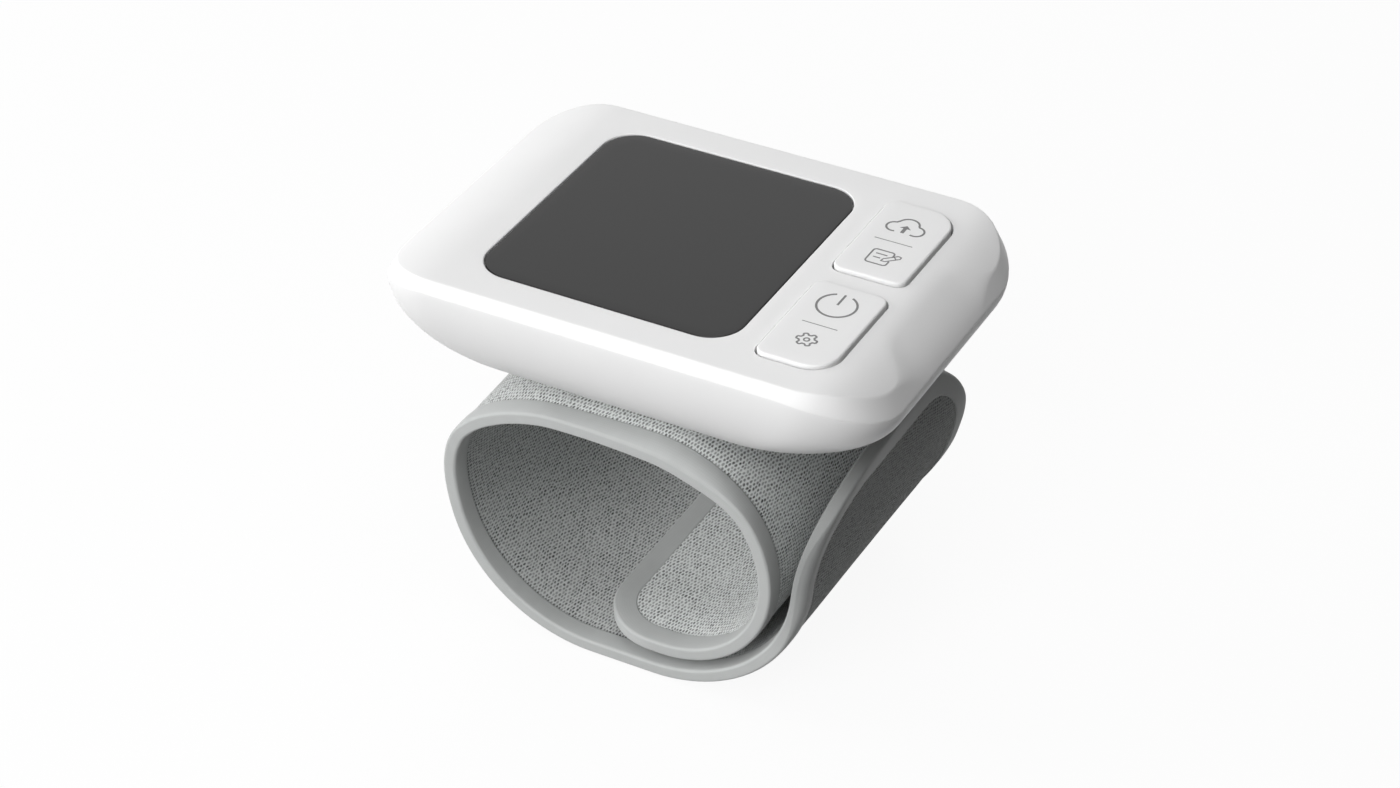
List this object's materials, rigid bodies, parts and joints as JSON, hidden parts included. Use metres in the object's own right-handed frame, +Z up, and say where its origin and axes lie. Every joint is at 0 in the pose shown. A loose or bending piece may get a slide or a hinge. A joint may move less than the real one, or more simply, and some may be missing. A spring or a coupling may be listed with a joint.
{
  "type": "wrist blood pressure monitor",
  "caption": "Wrist blood pressure monitor: a rounded white case with a dark display window and rocker buttons, carried on a grey fabric cuff with a loose outer flap.",
  "frame": {"origin": "middle of the flat stretch of cuff that rests on the table", "axes": "+X along the case towards the buttons, +Y across the cuff to the back, +Z up through the display"},
  "size_m": [0.0865, 0.062, 0.0663],
  "materials": {
    "shell_white": "satin moulded plastic",
    "window_dark": "smooth dark tinted window",
    "lcd_glass": "polished",
    "inner_plastic": "as moulded",
    "soft_rubber": "soft translucent",
    "board_green": "solder mask",
    "black_plastic": "as moulded",
    "cell_sleeve": "printed sleeve",
    "steel": "bright",
    "knit_grey": "fine twill knit",
    "lining_grey": "fine smooth knit",
    "binding_grey": "smooth folded tape",
    "hook_fabric": "hook tape"
  },
  "bodies": {
    "monitor": {"air_bladder": "soft_rubber", "air_block": "inner_plastic", "air_hose": "soft_rubber", "battery_1": "cell_sleeve", "battery_2": "cell_sleeve", "board_screw_1": "steel", "board_screw_2": "steel", "bottom_cover": "shell_white", "buzzer": "black_plastic", "contact_spring": "steel", "cover_screw_1": "steel", "cover_screw_2": "steel", "cover_screw_3": "steel", "cover_screw_4": "steel", "cuff_binding_back": "binding_grey", "cuff_binding_front": "binding_grey", "cuff_lining": "lining_grey", "cuff_nipple": "soft_rubber", "cuff_outer_fabric": "knit_grey", "cuff_stiffener": "inner_plastic", "display_window": "window_dark", "lcd_frame": "inner_plastic", "lcd_panel": "lcd_glass", "lower_pivot_pin": "steel", "main_board": "board_green", "main_chip": "black_plastic", "mount_plate": "inner_plastic", "plate_screw_1": "steel", "plate_screw_2": "steel", "plate_screw_3": "steel", "plate_screw_4": "steel", "positive_contact_plate": "steel", "pressure_sensor": "black_plastic", "pump_head": "black_plastic", "pump_motor": "steel", "release_valve": "steel", "spring_contact_plate": "steel", "tact_switch_1": "black_plastic", "tact_switch_2": "black_plastic", "tact_switch_3": "black_plastic", "tact_switch_4": "black_plastic", "top_cover": "shell_white", "upper_pivot_pin": "steel", "wireless_module": "steel", "zebra_strip_back": "soft_rubber", "zebra_strip_front": "soft_rubber"},
    "upper_button": {"upper_button": "shell_white"},
    "lower_button": {"lower_button": "shell_white"},
    "battery_door": {"battery_door": "shell_white", "door_contact": "steel"},
    "cuff_flap": {"flap_outer_fabric": "knit_grey", "flap_lining": "lining_grey", "flap_binding": "binding_grey", "hook_patch": "hook_fabric"},
    "cuff_tail": {"tail_outer_fabric": "knit_grey", "tail_lining": "lining_grey", "tail_binding": "binding_grey"}
  },
  "joints": [
    {"name": "upper_button_rock", "type": "hinge", "parent": "monitor", "child": "upper_button", "pos_m": [0.0277, 0.0129, 0.062], "axis": [1, 0, 0], "range_deg": [-2, 2], "stiffness_Nm_per_rad": 0.4},
    {"name": "lower_button_rock", "type": "hinge", "parent": "monitor", "child": "lower_button", "pos_m": [0.0277, -0.0129, 0.062], "axis": [1, 0, 0], "range_deg": [-2, 2], "stiffness_Nm_per_rad": 0.4},
    {"name": "battery_door_slide", "type": "slide", "parent": "monitor", "child": "battery_door", "axis": [-1, 0, 0], "range_m": [0, 0.011]},
    {"name": "cuff_flap_bend", "type": "hinge", "parent": "monitor", "child": "cuff_flap", "pos_m": [0.03223, 0, 0.02407], "axis": [0, 1, 0], "range_deg": [-12, 70], "stiffness_Nm_per_rad": 0.02},
    {"name": "cuff_tail_bend", "type": "hinge", "parent": "monitor", "child": "cuff_tail", "pos_m": [0.00713, 0, 0.0069], "axis": [0, 1, 0], "range_deg": [-4, 35], "stiffness_Nm_per_rad": 0.02}
  ]
}
